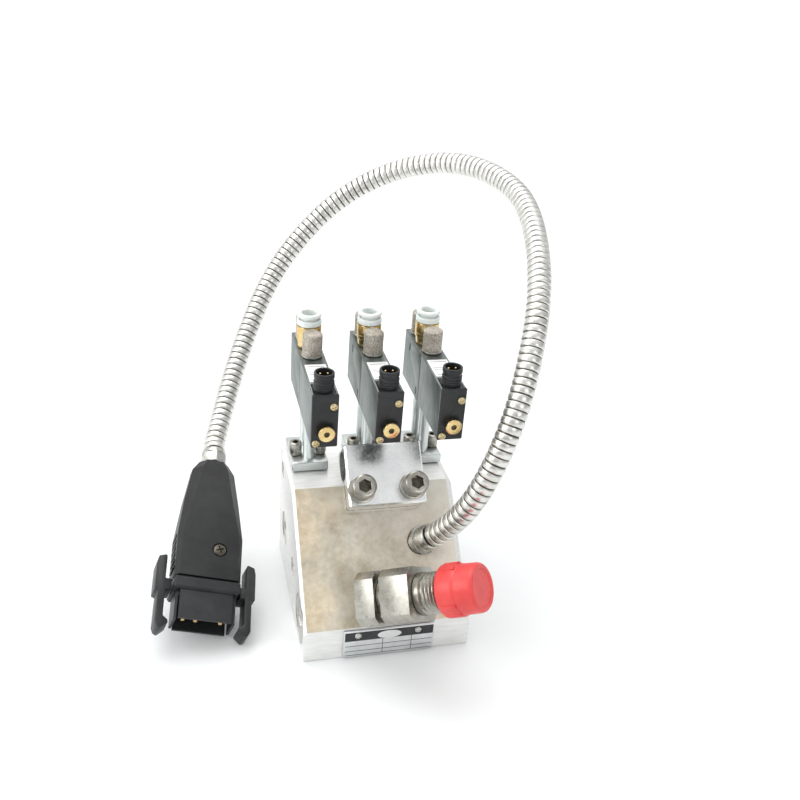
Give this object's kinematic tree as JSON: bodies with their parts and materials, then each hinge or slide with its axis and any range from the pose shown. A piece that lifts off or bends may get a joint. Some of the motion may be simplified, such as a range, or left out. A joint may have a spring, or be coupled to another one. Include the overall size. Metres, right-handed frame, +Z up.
{
  "type": "pneumatic valve manifold with mufflers",
  "caption": "Sloped metal manifold block carrying slim solenoid valves on risers, each with exhaust mufflers and a push-in tube fitting; bar clamp, capped hose port, armoured cord and plug.",
  "frame": {"origin": "centre of the manifold block's flat bottom face", "axes": "+Z up; -Y towards the nameplate and the sloped face; +X to the right seen from the front"},
  "size_m": [0.1733, 0.2132, 0.1727],
  "materials": {
    "machined_aluminium": "machined, heat-stained tan on the sloped face",
    "silver_anodised": "fine satin",
    "zinc_plate": "bright zinc plate",
    "stainless_steel": "smooth, bright",
    "conduit_steel": "bright interlocked strip",
    "brass": "turned",
    "sintered_bronze": "matte, grainy sintered bronze",
    "black_plastic": "moulded, satin",
    "white_plastic": "moulded, semi-gloss",
    "red_plastic": "soft moulded",
    "printed_plate": "satin plate, printed black band"
  },
  "bodies": {
    "manifold": {"manifold_block": "machined_aluminium", "filter_plug": "stainless_steel", "side_plug_rear": "stainless_steel", "side_plug_middle": "stainless_steel", "side_plug_upper": "stainless_steel", "clamp_block": "zinc_plate", "clamp_washer_left": "stainless_steel", "clamp_washer_right": "stainless_steel", "clamp_screw_left": "stainless_steel", "clamp_screw_right": "stainless_steel", "nameplate": "printed_plate", "hose_elbow": "stainless_steel", "hose_nut": "stainless_steel", "hose_nipple": "stainless_steel", "riser_1": "silver_anodised", "riser_screw_left_1": "stainless_steel", "riser_screw_right_1": "stainless_steel", "valve_body_1": "silver_anodised", "coil_housing_1": "black_plastic", "connector_1": "black_plastic", "muffler_front_1": "sintered_bronze", "muffler_rear_1": "sintered_bronze", "fitting_body_1": "brass", "fitting_collar_1": "white_plastic", "riser_2": "silver_anodised", "riser_screw_left_2": "stainless_steel", "riser_screw_right_2": "stainless_steel", "valve_body_2": "silver_anodised", "coil_housing_2": "black_plastic", "connector_2": "black_plastic", "muffler_front_2": "sintered_bronze", "muffler_rear_2": "sintered_bronze", "fitting_body_2": "brass", "fitting_collar_2": "white_plastic", "riser_3": "silver_anodised", "riser_screw_left_3": "stainless_steel", "riser_screw_right_3": "stainless_steel", "valve_body_3": "silver_anodised", "coil_housing_3": "black_plastic", "connector_3": "black_plastic", "muffler_front_3": "sintered_bronze", "muffler_rear_3": "sintered_bronze", "fitting_body_3": "brass", "fitting_collar_3": "white_plastic", "conduit_collar": "stainless_steel", "conduit": "conduit_steel", "gland_nut": "stainless_steel", "plug_hood": "black_plastic", "hood_screw": "stainless_steel", "plug_insert": "black_plastic"},
    "hose_cap": {"hose_cap": "red_plastic"},
    "override_1": {"override_1": "brass"},
    "override_2": {"override_2": "brass"},
    "override_3": {"override_3": "brass"},
    "release_ring_1": {"release_ring_1": "white_plastic"},
    "release_ring_2": {"release_ring_2": "white_plastic"},
    "release_ring_3": {"release_ring_3": "white_plastic"},
    "latch_left": {"latch_left": "black_plastic"},
    "latch_right": {"latch_right": "black_plastic"}
  },
  "joints": [
    {"name": "hose_cap_pull", "type": "slide", "parent": "manifold", "child": "hose_cap", "axis": [0.7061, -0.5262, 0.4738], "range_m": [0, 0.025]},
    {"name": "override_1_press", "type": "slide", "parent": "manifold", "child": "override_1", "axis": [0, 1, 0], "range_m": [0, 0.0011], "stiffness_N_per_m": 300},
    {"name": "override_2_press", "type": "slide", "parent": "manifold", "child": "override_2", "axis": [0, 1, 0], "range_m": [0, 0.0011], "stiffness_N_per_m": 300},
    {"name": "override_3_press", "type": "slide", "parent": "manifold", "child": "override_3", "axis": [0, 1, 0], "range_m": [0, 0.0011], "stiffness_N_per_m": 300},
    {"name": "release_ring_1_press", "type": "slide", "parent": "manifold", "child": "release_ring_1", "axis": [0, 0, -1], "range_m": [0, 0.0009], "stiffness_N_per_m": 200},
    {"name": "release_ring_2_press", "type": "slide", "parent": "manifold", "child": "release_ring_2", "axis": [0, 0, -1], "range_m": [0, 0.0009], "stiffness_N_per_m": 200},
    {"name": "release_ring_3_press", "type": "slide", "parent": "manifold", "child": "release_ring_3", "axis": [0, 0, -1], "range_m": [0, 0.0009], "stiffness_N_per_m": 200},
    {"name": "latch_left_squeeze", "type": "hinge", "parent": "manifold", "child": "latch_left", "pos_m": [-0.08787, -0.01017, 0.02015], "axis": [-0.2431, 0.3933, -0.8867], "range_deg": [0, 8], "stiffness_Nm_per_rad": 0.05},
    {"name": "latch_right_squeeze", "type": "hinge", "parent": "manifold", "child": "latch_right", "pos_m": [-0.05765, -0.01068, 0.01164], "axis": [0.2431, -0.3933, 0.8867], "range_deg": [0, 8], "stiffness_Nm_per_rad": 0.05}
  ]
}
